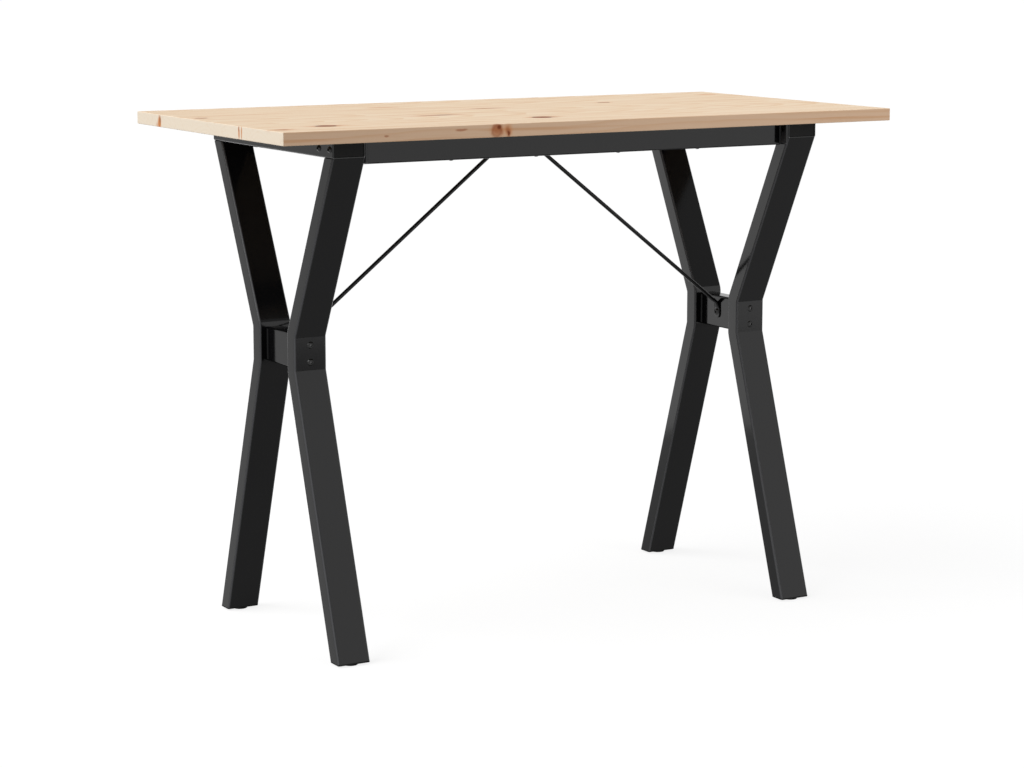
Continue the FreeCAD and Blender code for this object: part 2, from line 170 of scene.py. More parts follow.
# Streaks and knots as centre X, Y, Z and half sizes X, Y, Z in millimetres
amber_streaks = ((-480, 63, 750, 20, 12, 6), (-478, -202, 750, 30, 17, 6), (459, 175, 750, 28, 16, 6),
                 (-149, 149, 750, 40, 12, 4), (-395, -165, 750, 46, 14, 4), (-49, -159, 750, 44, 15, 4),
                 (-160, -48, 750, 72, 12, 4), (-24, 51, 750, 64, 10, 4), (204, 84, 750, 24, 10, 4),
                 (-500, 170, 734, 6, 12, 9), (-176, -250, 741, 17, 6, 13),
                 (-159, -250, 741, 11, 6, 13))
resin_streaks = ((-500, 166, 739, 5, 8, 14), (-500, -110, 741, 5, 3, 13), (-500, -118, 741, 5, 2.5, 13))
brown_streaks = ((-160, -48, 750, 46, 11, 4), (-24, 51, 750, 36, 9, 4), (-395, -165, 750, 28, 18, 4),
                 (-49, -159, 750, 28, 21, 5), (-478, -202, 750, 14, 11, 4), (-500, -110, 746, 5, 2.2, 6),
                 (-232, -250, 744, 12, 4, 2.5), (-346, -250, 740, 5, 3, 2),
                 (-176, -250, 743, 12, 5, 10), (-159, -250, 739, 6, 5, 10))
small_knots = ((204, 84, 750, 11, 8, 4), (-480, 63, 750, 10, 7, 4))
edge_knots = ((-177, -250, 741, 11, 12, 11),)
dark_knots = ((-150, -47, 750, 18, 6, 4), (-173.5, -250, 746, 5.5, 4, 4),
              (-159, -250, 737, 3, 4, 5.5), (-500, 164, 743, 5, 2.4, 8))
round_knots = ((-396, -165, 750, 16, 14, 6), (-51, -159, 750, 16, 15, 6))

# Lacquered pine: cream early wood with thin amber late wood, in growth rings about 6 mm apart.
# Each stave is sawn from its own log, so the rings run on from its face over its edge and end.
# Knots soak up the lacquer and stay duller.
pine, tree = new_material("lacquered_pine")
place = add(tree, "ShaderNodeTexCoord").outputs
axes = add(tree, "ShaderNodeSeparateXYZ", {0: place["Object"]}).outputs
# Staves are counted from the middle one, a hair narrow so that both long edges fall inside
stave = add(tree, "ShaderNodeMath", {0: axes["Y"], 1: 0.999 / stave_width, 2: 0.5},
            operation="MULTIPLY_ADD")
stave = add(tree, "ShaderNodeMath", {0: stave}, operation="FLOOR")
log_chance = add(tree, "ShaderNodeTexWhiteNoise", {"W": stave}, noise_dimensions="1D").outputs["Color"]
own_wood = add(tree, "ShaderNodeVectorMath", {0: place["Object"], 1: log_chance}, operation="ADD")
# The heart of each log lies 50 to 120 mm under the face and leans a little along the table
stave_middle = add(tree, "ShaderNodeMath", {0: stave, 1: stave_width}, operation="MULTIPLY")
pith = add(tree, "ShaderNodeCombineXYZ", {"Y": stave_middle, "Z": 0.70})
pith = add(tree, "ShaderNodeVectorMath", {0: log_chance, 1: (0, 0.09, -0.07), 2: pith},
           operation="MULTIPLY_ADD")
from_pith = add(tree, "ShaderNodeVectorMath", {0: place["Object"], 1: pith}, operation="SUBTRACT")
lean = add(tree, "ShaderNodeVectorMath", {0: log_chance, 1: (0, 0.03, 0.09)}, operation="MULTIPLY")
lean = add(tree, "ShaderNodeVectorMath", {0: lean, "Scale": axes["X"]}, operation="SCALE")
from_pith = add(tree, "ShaderNodeVectorMath", {0: from_pith, 1: lean}, operation="ADD")
# The rings sway by up to 16 mm, over 70 mm across the log and 330 mm along it
sway_place = add(tree, "ShaderNodeMapping", {"Vector": own_wood, "Scale": (3, 14, 14)})
sway = add(tree, "ShaderNodeTexNoise", {"Vector": sway_place, "Scale": 1.0, "Detail": 3.0}).outputs
from_pith = add(tree, "ShaderNodeVectorMath", {0: sway["Color"], 1: (0, 0.016, 0.016), 2: from_pith},
                operation="MULTIPLY_ADD")
# A wave texture turns by 20 radians in each unit of its scale
rings = add(tree, "ShaderNodeTexWave", {"Vector": from_pith, "Scale": math.tau / 20 / ring_spacing},
            wave_type="RINGS", rings_direction="X", wave_profile="SAW")
# Streaks about 290 mm long and 9 mm wide, and fibres 80 mm long and 2 mm wide: real fibres are
# finer, and are drawn this coarse so that they show
streak_place = add(tree, "ShaderNodeMapping", {"Vector": own_wood, "Scale": (3.5, 110, 150)})
streak = add(tree, "ShaderNodeTexNoise", {"Vector": streak_place, "Scale": 1.0, "Detail": 2.0})
fibre_place = add(tree, "ShaderNodeMapping", {"Vector": own_wood, "Scale": (12, 500, 500)})
fibre = add(tree, "ShaderNodeTexNoise", {"Vector": fibre_place, "Scale": 1.0, "Detail": 4.0})
# Painted shade and light: the long edges are painted darker than the face, for the dimmer light that
# falls on them, and the sawn ends paler, for the brighter light on them
normal = add(tree, "ShaderNodeSeparateXYZ", {0: place["Normal"]}).outputs
edge_share = add(tree, "ShaderNodeMath", {0: normal["Y"]}, operation="ABSOLUTE")
end_share = add(tree, "ShaderNodeMath", {0: normal["X"]}, operation="ABSOLUTE")
tone = add(tree, "ShaderNodeMix", {0: edge_share, 6: linear("EBD4B7"), 7: linear("D5B496")},
           data_type="RGBA")
tone = add(tree, "ShaderNodeMix", {0: end_share, 6: tone, 7: linear("EDDFCB")}, data_type="RGBA")
# The patterns are calmer on the long edges and nearly gone on the ends
edge_calm = 0.45
end_calm = 0.85
calm = add(tree, "ShaderNodeMath", {0: edge_share, 1: edge_calm}, operation="MULTIPLY")
calm = add(tree, "ShaderNodeMath", {0: end_share, 1: end_calm, 2: calm}, operation="MULTIPLY_ADD")
# Each pattern with its tint, where it starts, where it is full, and its strength on the face
for pattern, code, start, full, strength in (
        (rings, "EFD8BC", 0.45, 1.0, 0.55), (streak, "E8C8A2", 0.56, 0.74, 0.75),
        (fibre, "F0DAC0", 0.50, 0.80, 0.40)):
    left_over = add(tree, "ShaderNodeMapRange", {"Value": calm, "To Min": strength, "To Max": 0.0})
    mask = add(tree, "ShaderNodeMapRange", {"Value": pattern.outputs["Fac"], "From Min": start,
                                            "From Max": full, "To Max": left_over},
               interpolation_type="SMOOTHSTEP")
    tone = add(tree, "ShaderNodeMix", {0: mask, 6: tone, 7: linear(code)}, data_type="RGBA",
               blend_type="MULTIPLY")
# Marks have ragged outlines, moved by up to 5 mm along the grain in waves of about 17 mm
ragged = add(tree, "ShaderNodeTexNoise", {"Vector": place["Object"], "Scale": 60.0, "Detail": 2.0})
wander = add(tree, "ShaderNodeVectorMath", {0: ragged.outputs["Color"], 1: (0.5, 0.5, 0.5)},
             operation="SUBTRACT")
wander = add(tree, "ShaderNodeVectorMath", {0: wander, 1: (0.010, 0.003, 0.003), 2: place["Object"]},
             operation="MULTIPLY_ADD")


def mark_share(marks, most, ring=0.0, outer=1.0, inner=0.35):
    """Node with the share of the tone that marks take: most of it up to the inner distance from a ring
    round each mark's middle, and none past the outer one. All are shares of the mark's half sizes."""
    deepest = None
    for x, y, z, long, wide, deep in marks:
        away = add(tree, "ShaderNodeVectorMath", {0: wander, 1: (x / 1000, y / 1000, z / 1000)},
                   operation="SUBTRACT")
        away = add(tree, "ShaderNodeVectorMath", {0: away, 1: (1000 / long, 1000 / wide, 1000 / deep)},
                   operation="MULTIPLY")
        reach = add(tree, "ShaderNodeVectorMath", {0: away}, operation="LENGTH")
        reach = add(tree, "ShaderNodeMath", {0: reach, 1: ring}, operation="SUBTRACT")
        reach = add(tree, "ShaderNodeMath", {0: reach}, operation="ABSOLUTE")
        mask = add(tree, "ShaderNodeMapRange", {"Value": reach, "From Min": outer, "From Max": inner,
                                                "To Max": most}, interpolation_type="SMOOTHSTEP")
        if deepest:
            mask = add(tree, "ShaderNodeMath", {0: deepest, 1: mask}, operation="MAXIMUM")
        deepest = mask
    return deepest


knot_share = mark_share(round_knots, 0.92, inner=0.8)
for code, share in (("CB7C38", mark_share(amber_streaks, 0.5)),
                    ("C87424", mark_share(resin_streaks, 0.85)),
                    ("96481A", mark_share(brown_streaks, 0.62)),
                    ("9A5020", mark_share(small_knots, 0.75, inner=0.7)),
                    ("6E3410", mark_share(small_knots, 0.7, ring=0.85, outer=0.2, inner=0.0)),
                    ("8A3C10", mark_share(edge_knots, 0.45, ring=0.7, outer=0.34, inner=0.02)),
                    ("74340A", mark_share(dark_knots, 0.94)),
                    ("8E4A1A", knot_share),
                    ("4C1E06", mark_share(round_knots, 0.85, ring=0.86, outer=0.16, inner=0.0)),
                    ("6E340E", mark_share(round_knots, 0.6, ring=0.5, outer=0.14, inner=0.0)),
                    ("5A2806", mark_share(round_knots, 0.85, outer=0.32, inner=0.0))):
    tone = add(tree, "ShaderNodeMix", {0: share, 6: tone, 7: linear(code)}, data_type="RGBA")
relief = add(tree, "ShaderNodeBump", {"Height": fibre.outputs["Fac"], "Strength": 0.15,
                                      "Distance": 0.0002})
film = add(tree, "ShaderNodeMapRange", {"Value": knot_share, "To Min": 0.15, "To Max": 0.03})
lacquer = add(tree, "ShaderNodeBsdfPrincipled", {"Base Color": tone, "Roughness": 0.55, "IOR": 1.5,
                                                 "Specular IOR Level": film, "Normal": relief})
add(tree, "ShaderNodeOutputMaterial", {"Surface": lacquer})


def coat(piece, material):
    """The piece takes one finish all over."""
    piece.data.materials.clear()
    piece.data.materials.append(material)


for number in range(1, stave_count + 1):
    coat(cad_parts[f"top_board_{number}"], pine)

# End rails: steel tube laid flat across the leg tops, saw-cut square and left open at both ends.
# Tube, welds and all are powder coated black in one go after welding.
tube_corner = 0.003
tube_wall = 0.002
cut_edge = 0.0004
corner_steps = 6
corner_shares = [math.sin(math.pi * step / corner_steps) for step in range(corner_steps + 1)] * 4
crease_angle = math.radians(35)


def rounded_section(width, height, corner):
    """Points round a rectangle with round corners, centred on the origin."""
    points = []
    for turn, across, up in ((0, 1, 1), (1, -1, 1), (2, -1, -1), (3, 1, -1)):
        for step in range(corner_steps + 1):
            angle = math.radians(90) * (turn + step / corner_steps)
            points.append((across * (width / 2 - corner) + corner * math.cos(angle),
                           up * (height / 2 - corner) + corner * math.sin(angle)))
    return points


def placed(name, mesh):
    """Piece of a mesh, smooth but for its creases."""
    mesh.shade_smooth()
    mesh.set_sharp_from_angle(angle=crease_angle)
    piece = bpy.data.objects.new(name, mesh)
    scene.collection.objects.link(piece)
    return piece


def loft(name, rings, shares=None, hollow=False):
    """Piece skinned over rings of equally many points; its ends are closed, or joined where hollow.
    The shares, one for each point of a ring, say how near the middle of a round corner it is."""
    count = len(rings[0])
    shell = bmesh.new()
    corner_layer = shell.verts.layers.float.new("corner")
    rows = [[shell.verts.new(point) for point in ring] for ring in rings]
    for row in rows:
        for vertex, share in zip(row, shares or [0.0] * count):
            vertex[corner_layer] = share
    for row, following in zip(rows, rows[1:] + rows[:1] if hollow else rows[1:]):
        for index in range(count):
            beside = (index + 1) % count
            shell.faces.new((row[index], row[beside], following[beside], following[index]))
    if not hollow:
        shell.faces.new(rows[0])
        shell.faces.new(rows[-1])
    bmesh.ops.remove_doubles(shell, verts=shell.verts, dist=1e-7)
    bmesh.ops.recalc_face_normals(shell, faces=shell.faces)
    mesh = bpy.data.meshes.new(name)
    shell.to_mesh(mesh)
    shell.free()
    piece = placed(name, mesh)
    piece.modifiers.new("flats stay flat", "WEIGHTED_NORMAL").keep_sharp = True
    return piece


def bar_in_box(name, box, axis, corner, chamfer=0.0, wall=0.0, bead=0.0):
    """Bar or tube that fills a box along one axis, with round corners and chamfered ends.
    With a bead, its sides flare out at the ends to a weld of that size instead."""
    low, high = box
    size = high - low
    middle = (low + high) / 2
    wide, tall = [other for other in range(3) if other != axis]
    ease = bead or chamfer
    end_inset = -bead or chamfer
    outline = [(low[axis], end_inset), (low[axis] + ease, 0.0), (high[axis] - ease, 0.0),
               (high[axis], end_inset)]
    if wall:
        outline += [(high[axis], wall), (low[axis], wall)]
    rings = []
    for place, inset in outline:
        ring = []
        for first, second in rounded_section(size[wide] - 2 * inset, size[tall] - 2 * max(inset, 0.0),
                                             corner - inset):
            point = middle.copy()
            point[axis] = place
            point[wide] += first
            point[tall] += second
            ring.append(point)
        rings.append(ring)
    return loft(name, rings, None if bead else corner_shares, hollow=wall > 0)


def fit(piece, material, slot, body, *stands_for):
    """The piece takes its finish, rides on its body and stands for its solids."""
    coat(piece, material)
    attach(piece, body)
    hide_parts(*stands_for)


# Black powder coat: baked polyester paint, smooth and glossy, with an orange peel of about 2 mm.
# Its gloss drifts over about 55 mm. It is nearly black by itself, so the eye sees the room in it,
# and along its round corners it is painted greyer, a painted highlight for the light that they catch.
powder_coat, tree = new_material("black_powder_coat")
place = add(tree, "ShaderNodeTexCoord").outputs
peel = add(tree, "ShaderNodeTexNoise", {"Vector": place["Object"], "Scale": 450.0, "Detail": 2.0})
drift = add(tree, "ShaderNodeTexNoise", {"Vector": place["Object"], "Scale": 18.0, "Detail": 2.0})
gloss = add(tree, "ShaderNodeMapRange", {"Value": drift.outputs["Fac"], "To Min": 0.09, "To Max": 0.14})
relief = add(tree, "ShaderNodeBump", {"Height": peel.outputs["Fac"], "Strength": 0.05,
                                      "Distance": 0.0002})
# Painted highlight: the base colour turns grey towards the middle of each round corner
corner = add(tree, "ShaderNodeAttribute", attribute_name="corner")
black = add(tree, "ShaderNodeMix", {0: corner.outputs["Fac"], 6: linear("0B0B0C"), 7: linear("505052")},
            data_type="RGBA")
paint = add(tree, "ShaderNodeBsdfPrincipled", {"Base Color": black, "Roughness": gloss, "IOR": 1.5,
                                               "Specular IOR Level": 0.13, "Normal": relief})
add(tree, "ShaderNodeOutputMaterial", {"Surface": paint})

for side in ("left", "right"):
    rail = bar_in_box(f"{side}_rail_tube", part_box(f"{side}_end_rail"), 1, tube_corner, cut_edge,
                      wall=tube_wall)
    fit(rail, powder_coat, "black_powder_coat", "frame", f"{side}_end_rail")

# End caps: black moulded plugs pressed into the open rail ends, a little below the cut edge.
# Each is a shallow cup whose flat face shows inside the rim of the tube wall.
cap_corner = 0.0015
cap_edge = 0.0005

# Moulded black polypropylene: a spark-eroded grain makes it duller than the painted steel.
# The grain is drawn at about 0.6 mm, coarser than the real one, so that it shows.
moulded_plastic, tree = new_material("moulded_black_plastic")
place = add(tree, "ShaderNodeTexCoord").outputs
grain = add(tree, "ShaderNodeTexNoise", {"Vector": place["Object"], "Scale": 1800.0, "Detail": 2.0})
shine = add(tree, "ShaderNodeMapRange", {"Value": grain.outputs["Fac"], "To Min": 0.42, "To Max": 0.58})
relief = add(tree, "ShaderNodeBump", {"Height": grain.outputs["Fac"], "Strength": 0.2,
                                      "Distance": 0.0001})
resin = add(tree, "ShaderNodeBsdfPrincipled", {"Base Color": linear("0D0D0D"), "Roughness": shine,
                                               "IOR": 1.49, "Specular IOR Level": 0.08,
                                               "Normal": relief})
add(tree, "ShaderNodeOutputMaterial", {"Surface": resin})

corners = [(side, row) for side in ("left", "right") for row in ("front", "back")]
for side, row in corners:
    node = f"{side}_{row}_end_rail_cap"
    cap = bar_in_box(f"{side}_{row}_rail_plug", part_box(node), 1, cap_corner, cap_edge)
    fit(cap, moulded_plastic, "black_plastic", "frame", node)

# Legs: the same steel tube, bent outwards above and below a short upright waist.
# The top is cut level and welded under the end rail, and the foot is cut level for its plug.
tube_thickness = 0.025
half_thickness = tube_thickness / 2
waist_top = 0.447
waist_bottom = 0.399
bend_radius = 0.002
bend_steps = 6


def bent_line(points, radius, steps):
    """Places along a line bent round its inner points, each with its unit normal, in Y and Z."""
    places = []
    for before, corner, after in zip(points, points[1:], points[2:]):
        back = (before - corner).normalized()
        onward = (after - corner).normalized()
        half_turn = (math.pi - back.angle(onward)) / 2
        run = radius * math.tan(half_turn)
        centre = corner + (back + onward).normalized() * (radius / math.cos(half_turn))
        first_ray = corner + back * run - centre
        last_ray = corner + onward * run - centre
        for step in range(steps + 1):
            ray = first_ray.lerp(last_ray, step / steps).normalized()
            places.append((centre + ray * radius, ray))
    return places


def leg_ring(left, right, section, place, through_way):
    """Ring of a leg's section at a place in Y and Z; its thickness runs along the given way."""
    middle = (left + right) / 2
    ring = []
    for across, through in section:
        spot = place + through * through_way
        ring.append(Vector((middle + across, spot.x, spot.y)))
    return ring


for side, row in corners:
    node = f"{side}_{row}_leg"
    low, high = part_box(node)
    mirror = Vector((-1 if row == "front" else 1, 1))
    rail_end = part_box(f"{side}_end_rail")[1].y
    waist_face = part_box(f"{side}_waist_connector")[1].y + tube_thickness
    foot_face = max(abs(low.y), abs(high.y))
    upper_lean = (rail_end - waist_face) / (high.z - waist_top)
    lower_lean = (foot_face - waist_face) / (waist_bottom - low.z)
    upper_stretch = math.hypot(1, upper_lean)
    lower_stretch = math.hypot(1, lower_lean)
    waist_middle = waist_face - half_thickness
    upper_bend = waist_top + half_thickness * (upper_stretch - 1) / upper_lean
    lower_bend = waist_bottom - half_thickness * (lower_stretch - 1) / lower_lean
    line = [Vector((rail_end - half_thickness * upper_stretch, high.z)),
            Vector((waist_middle, upper_bend)),
            Vector((waist_middle, lower_bend)),
            Vector((foot_face - half_thickness * lower_stretch, low.z))]
    section = rounded_section(high.x - low.x, tube_thickness, tube_corner)
    places = [(line[0], Vector((upper_stretch, 0)))]
    places += bent_line(line, bend_radius + half_thickness, bend_steps)
    places.append((line[3], Vector((lower_stretch, 0))))
    rings = []
    for centre, way in places:
        outward = way if way.x > 0 else -way
        rings.append(leg_ring(low.x, high.x, section, centre * mirror, outward * mirror))
    leg = loft(f"{side}_{row}_bent_leg", rings, corner_shares)
    fit(leg, powder_coat, "black_powder_coat", "frame", node)

# Foot plugs: black moulded plugs driven into the level-cut leg ends.
# A thin flange follows the tube's outline, and the core inside holds the threaded bush.
plug_edge = 0.0004
plug_gap = 0.0001
core_inset = tube_wall + plug_gap

for side, row in corners:
    node = f"{side}_{row}_foot_plug"
    low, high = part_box(node)
    leg_low, leg_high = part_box(f"{side}_{row}_leg")
    mirror = Vector((-1 if row == "front" else 1, 1))
    foot_face = max(abs(leg_low.y), abs(leg_high.y))
    waist_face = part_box(f"{side}_waist_connector")[1].y + tube_thickness
    lean = (foot_face - waist_face) / (waist_bottom - leg_low.z)
    stretch = math.hypot(1, lean)
    flange_top = leg_low.z - plug_gap
    rings = []
    for height, inset in ((low.z, plug_edge), (low.z + plug_edge, 0.0), (flange_top, 0.0),
                          (flange_top, core_inset), (high.z, core_inset)):
        section = rounded_section(leg_high.x - leg_low.x - 2 * inset, tube_thickness - 2 * inset,
                                  max(tube_corner - inset, tube_corner / 2))
        outer_face = foot_face + lean * (leg_low.z - height)
        centre = Vector((outer_face - stretch * half_thickness, height))
        rings.append(leg_ring(leg_low.x, leg_high.x, section, centre * mirror,
                              Vector((stretch, 0)) * mirror))
    plug = loft(f"{side}_{row}_leg_plug", rings, corner_shares)
    fit(plug, moulded_plastic, "black_plastic", "frame", node)

# Levelling feet: a round plastic pad moulded onto a zinc-plated stud, which screws into a steel bush.
# The pad's sole has shallow rings for grip, and the stud's thread is drawn as rings one pitch apart.
pad_edge = 0.0008
pad_edge_angles = (0.0, 0.5, 1.0, math.pi / 2)
groove_depth = 0.0004
# The sole from its middle outwards, as shares of the pad's radius and of the grooves' depth
sole_outline = ((0.12, 0), (0.30, 0), (0.32, 1), (0.40, 1), (0.42, 0),
                (0.58, 0), (0.60, 1), (0.68, 1), (0.70, 0))
thread_pitch = 0.001
thread_depth = 0.0005
crest_start = 0.4 * thread_pitch
crest_end = 0.6 * thread_pitch
turned_steps = 48


def turned(name, centre, outline):
    """Piece turned round an upright axis from radius and height pairs."""
    angles = [2 * math.pi * step / turned_steps for step in range(turned_steps)]
    rings = []
    for radius, height in outline:
        rings.append([Vector((centre.x + radius * math.cos(angle), centre.y + radius * math.sin(angle),
                              height)) for angle in angles])
    return loft(name, rings)


# Zinc-plated steel: a cool grey metal, a little cloudy from the plating bath over about 3 mm.
zinc_steel, tree = new_material("zinc_plated_steel")
place = add(tree, "ShaderNodeTexCoord").outputs
cloud = add(tree, "ShaderNodeTexNoise", {"Vector": place["Object"], "Scale": 300.0, "Detail": 3.0})
shine = add(tree, "ShaderNodeMapRange", {"Value": cloud.outputs["Fac"], "To Min": 0.25, "To Max": 0.45})
tint = add(tree, "ShaderNodeMix", {0: cloud.outputs["Fac"], 6: linear("B4B8BC"), 7: linear("CDCFCE")},
           data_type="RGBA")
plating = add(tree, "ShaderNodeBsdfPrincipled", {"Base Color": tint, "Metallic": 1.0,
                                                 "Roughness": shine})
add(tree, "ShaderNodeOutputMaterial", {"Surface": plating})

for side, row in corners:
    body = f"{side}_{row}_foot"
    low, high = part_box(f"{body}_pad")
    centre = (low + high) / 2
    radius = (high.x - low.x) / 2
    inner = radius - pad_edge
    sole = [(radius * share, low.z + groove_depth * lift) for share, lift in sole_outline]
    rim = [(inner + pad_edge * math.sin(angle), low.z + pad_edge - pad_edge * math.cos(angle))
           for angle in pad_edge_angles]
    crown = [(inner + pad_edge * math.cos(angle), high.z - pad_edge + pad_edge * math.sin(angle))
             for angle in pad_edge_angles]
    pad = turned(f"{body}_glide", centre, sole + rim + crown)
    fit(pad, moulded_plastic, "black_plastic", body, f"{body}_pad")

    low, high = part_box(f"{body}_stud")
    radius = (high.x - low.x) / 2
    pitches = int((high.z - low.z) / thread_pitch)
    thread = []
    for pitch in range(pitches):
        root = low.z + pitch * thread_pitch
        thread += [(radius - thread_depth, root), (radius, root + crest_start),
                   (radius, root + crest_end)]
    thread.append((radius - thread_depth, high.z))
    stud = turned(f"{body}_threaded_stud", centre, thread)
    fit(stud, zinc_steel, "zinc_steel", body, f"{body}_stud")

coat(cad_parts["foot_bushes"], zinc_steel)

# Long rails: lighter steel tube on edge under the front and the back of the top.
# A flat plate welded across each end, with a bead all round the tube, is the flange. It is tapped
# for the bolts through the end rail.
long_rail_corner = 0.002
flange_corner = 0.002
flange_edge = 0.0005
weld_bead = 0.0016

for row in ("front", "back"):
    rail = bar_in_box(f"{row}_rail_tube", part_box(f"{row}_long_rail"), 0, long_rail_corner,
                      bead=weld_bead)
    fit(rail, powder_coat, "black_powder_coat", "frame", f"{row}_long_rail")
    low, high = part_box(f"{row}_rail_flanges")
    rail_low, rail_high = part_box(f"{row}_long_rail")
    plates = [bar_in_box(f"{row}_{side}_flange", box, 0, flange_corner, flange_edge)
              for side, box in (("left", (low, Vector((rail_low.x, high.y, high.z)))),
                                ("right", (Vector((rail_high.x, low.y, low.z)), high)))]
    for plate in plates:
        fit(plate, powder_coat, "black_powder_coat", "frame", f"{row}_rail_flanges")

# Crossbar: a length of the leg tube laid flat at mid length, with a weld bead to each long rail.
# Both tie rods are bolted to its underside.
crossbar = bar_in_box("crossbar_tube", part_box("crossbar"), 1, tube_corner, bead=weld_bead)
fit(crossbar, powder_coat, "black_powder_coat", "frame", "crossbar")

# Waist connectors: short tubes on edge that hold the two legs of an end apart.
# A plate welded inside each end carries the nuts of the waist bolts, and its weld leaves a bead
# on the tube where it meets the leg.
for side in ("left", "right"):
    connector = bar_in_box(f"{side}_waist_tube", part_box(f"{side}_waist_connector"), 1, tube_corner,
                           bead=weld_bead)
    fit(connector, powder_coat, "black_powder_coat", "frame", f"{side}_waist_connector")
    coat(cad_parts[f"{side}_connector_plates"], powder_coat)

# Tie rods: round bar from each waist up to the crossbar, hammered flat and bent at both ends.
# A bolt through each flat end holds it against the connector and the crossbar.
rod_radius = 0.003
rod_clearance = 0.0002
bend_width = 2.2 * rod_radius
bend_thickness = 1.9 * rod_radius
tab_thickness = 0.002
tab_end_radius = 0.006
tab_end_steps = 6
lower_bend_rise = 0.0245
upper_bend_run = 0.0185
flattening = 0.010
rod_steps = 24
flat_power = 0.65


def rod_ring(place, along, wide, thick, flat):
    """Ring across a rod in the XZ plane: round where flat is 0, and flat-sided where it is 1."""
    up = Vector((-along.z, 0, along.x))
    power = 1 - flat_power * flat
    ring = []
    for step in range(rod_steps):
        angle = 2 * math.pi * step / rod_steps
        across = math.copysign(abs(math.cos(angle)) ** power, math.cos(angle)) * wide / 2
        through = math.copysign(abs(math.sin(angle)) ** power, math.sin(angle)) * thick / 2
        ring.append(place + Vector((0, across, 0)) + up * through)
    return ring


def tab_end(tip, inwards, along, width):
    """Places of a tab's rounded end from its tip inwards, as rod_ring takes them."""
    places = []
    for step in range(tab_end_steps + 1):
        angle = math.pi / 2 * step / tab_end_steps
        rise = tab_end_radius * (1 - math.cos(angle))
        narrowing = tab_end_radius * (1 - math.sin(angle))
        places.append((tip + inwards * rise, along, width - 2 * narrowing, tab_thickness, 1.0))
    return places


for side, hand in (("left", -1), ("right", 1)):
    low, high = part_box(f"{side}_tie_rod")
    tab_width = high.y - low.y
    face = max(abs(low.x), abs(high.x))
    tip = min(abs(low.x), abs(high.x))
    lower_tab = Vector((face - tab_thickness / 2, 0, low.z))
    lower_bend = Vector((face - rod_radius - rod_clearance, 0, low.z + lower_bend_rise))
    upper_bend = Vector((tip + upper_bend_run, 0, high.z - rod_radius - rod_clearance))
    upper_tab = Vector((tip, 0, high.z - tab_thickness / 2))
    lower_neck = Vector((lower_tab.x, 0, lower_bend.z - flattening))
    upper_neck = Vector((upper_bend.x - flattening / 2, 0, upper_tab.z))
    run = (upper_bend - lower_bend).normalized()
    upright = Vector((0, 0, 1))
    level = Vector((-1, 0, 0))
    places = [*tab_end(lower_tab, upright, upright, tab_width),
              (lower_neck, upright, tab_width, tab_thickness, 1.0),
              (lower_bend, (upright + run).normalized(), bend_width, bend_thickness, 0.0),
              (lower_bend + run * flattening, run, 2 * rod_radius, 2 * rod_radius, 0.0),
              (upper_bend - run * flattening, run, 2 * rod_radius, 2 * rod_radius, 0.0),
              (upper_bend, (run + level).normalized(), bend_width, bend_thickness, 0.0),
              (upper_neck, level, tab_width, tab_thickness, 1.0),
              *reversed(tab_end(upper_tab, -level, level, tab_width))]
    rings = []
    for place in places:
        rings.append([Vector((hand * point.x, hand * point.y, point.z)) for point in rod_ring(*place)])
    rod = loft(f"{side}_bar_rod", rings)
    fit(rod, powder_coat, "black_powder_coat", "frame", f"{side}_tie_rod")


# Button bolts: M6 hexagon-socket screws at the waists, the tie rods and the long rails' tapped flanges.
# The domed head and its socket are cold forged, the thread is rolled, and all is blackened.
def new_shape_tree(name, inputs):
    """Geometry tree with a named input of the given kind for each size, and its inputs' sockets."""
    made = bpy.data.node_groups.new(name, "GeometryNodeTree")
    made.interface.new_socket("Pieces", in_out="OUTPUT", socket_type="NodeSocketGeometry")
    made.interface.new_socket("Places", in_out="INPUT", socket_type="NodeSocketGeometry")
    for label, kind in inputs.items():
        made.interface.new_socket(label, in_out="INPUT", socket_type=f"NodeSocket{kind}")
    return made, add(made, "NodeGroupInput").outputs


def set_out(tree, given, shape):
    """End of a tree: the shape on every place, facing outwards at a chance turn, real and finished."""
    outward = add(tree, "GeometryNodeInputNamedAttribute", {"Name": "outward"}, data_type="FLOAT_VECTOR")
    upright = add(tree, "FunctionNodeAlignRotationToVector", {"Vector": outward}, axis="Z")
    chance = add(tree, "FunctionNodeRandomValue", {2: 0.0, 3: math.tau, "Seed": given["Seed"]},
                 data_type="FLOAT")
    spin = add(tree, "FunctionNodeAxisAngleToRotation", {"Axis": (0, 0, 1), "Angle": chance})
    turn = add(tree, "FunctionNodeRotateRotation", {"Rotation": upright, "Rotate By": spin},
               rotation_space="LOCAL")
    copies = add(tree, "GeometryNodeInstanceOnPoints", {"Points": given["Places"], "Instance": shape,
                                                        "Rotation": turn})
    real = add(tree, "GeometryNodeRealizeInstances", {0: copies})
    finished = add(tree, "GeometryNodeSetMaterial", {"Geometry": real, "Material": given["Finish"]})
    add(tree, "NodeGroupOutput", {0: finished})


def made_by_tree(name, tree, places, values):
    """Plain mesh piece of what a tree makes on places, each given as a point and an outward way."""
    points = bpy.data.meshes.new(f"{name}_places")
    points.from_pydata([place for place, way in places], [], [])
    outward = points.attributes.new("outward", "FLOAT_VECTOR", "POINT")
    for entry, (place, way) in zip(outward.data, places):
        entry.vector = way
    source = bpy.data.objects.new(f"{name}_places", points)
    scene.collection.objects.link(source)
    modifier = source.modifiers.new("fasteners", "NODES")
    modifier.node_group = tree
    for socket in tree.interface.items_tree:
        if socket.in_out == "INPUT" and socket.name in values:
            modifier[socket.identifier] = values[socket.name]
    evaluated = source.evaluated_get(bpy.context.evaluated_depsgraph_get())
    mesh = bpy.data.meshes.new_from_object(evaluated)
    mesh.name = name
    bpy.data.objects.remove(source)
    return placed(name, mesh)


